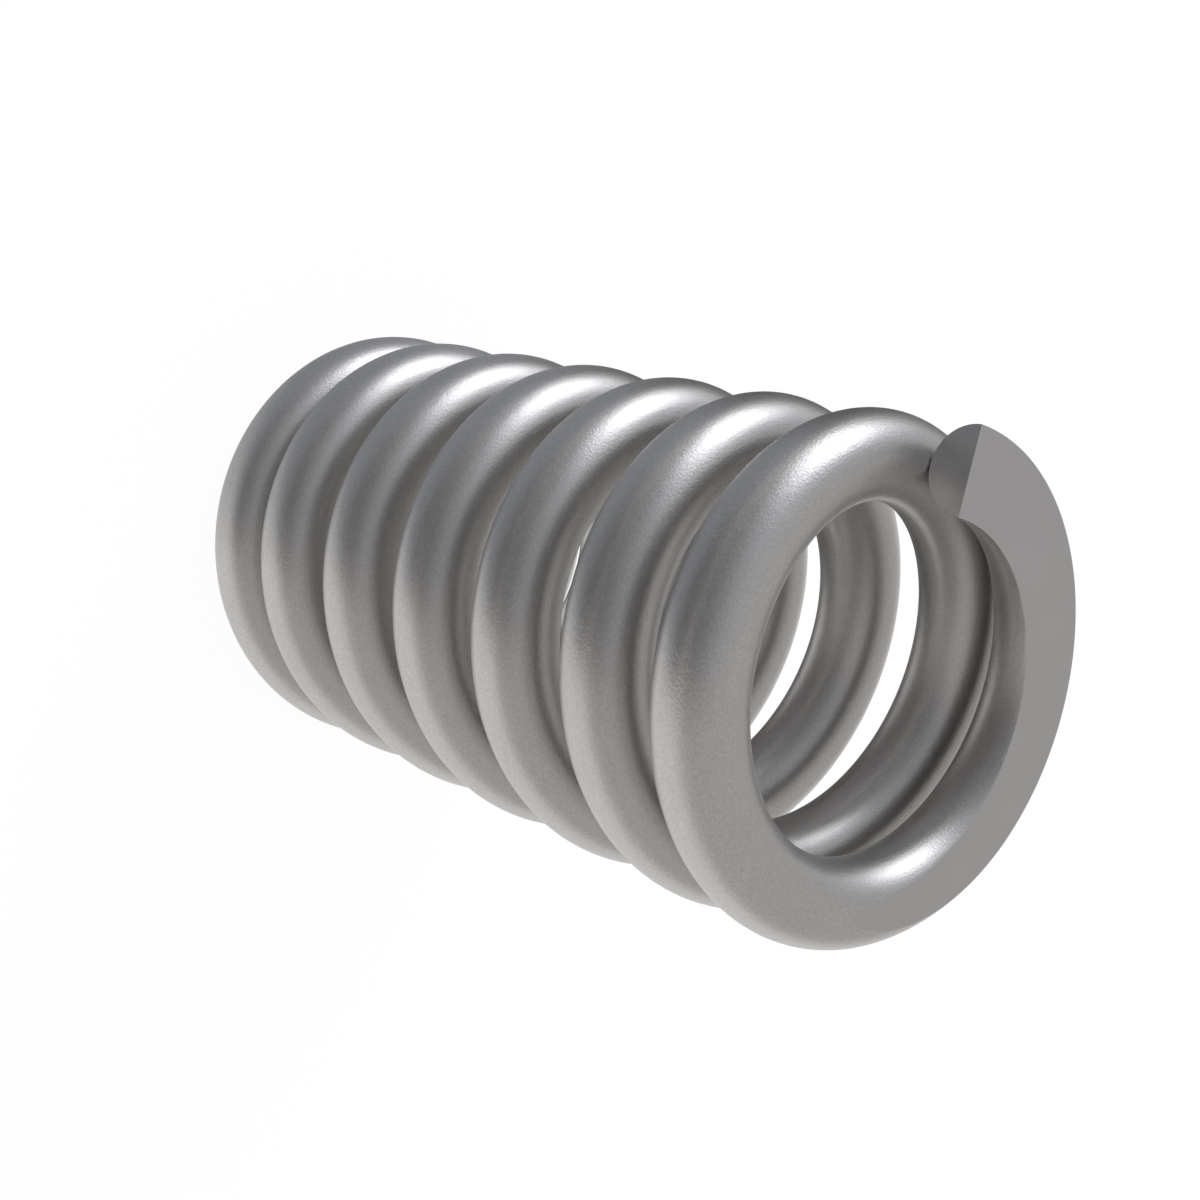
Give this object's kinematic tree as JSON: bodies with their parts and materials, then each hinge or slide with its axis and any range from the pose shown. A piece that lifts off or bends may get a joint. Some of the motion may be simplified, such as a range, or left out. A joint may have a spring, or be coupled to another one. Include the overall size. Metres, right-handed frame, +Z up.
{
  "type": "compression spring",
  "caption": "Cylindrical compression spring of round steel wire, coiled right-handed, with closed ends ground flat; sits over a rod or in a bore and pushes parts apart.",
  "frame": {"origin": "centre of the bottom ground end, on the coil's axis", "axes": "+Z up the coil's axis to the top ground end, +X through the bottom tip of the wire"},
  "size_m": [0.0293, 0.0292, 0.051],
  "materials": {
    "wire": "satin drawn wire, ground bare at both ends"
  },
  "bodies": {
    "root": {"spring": "wire"}
  },
  "joints": []
}
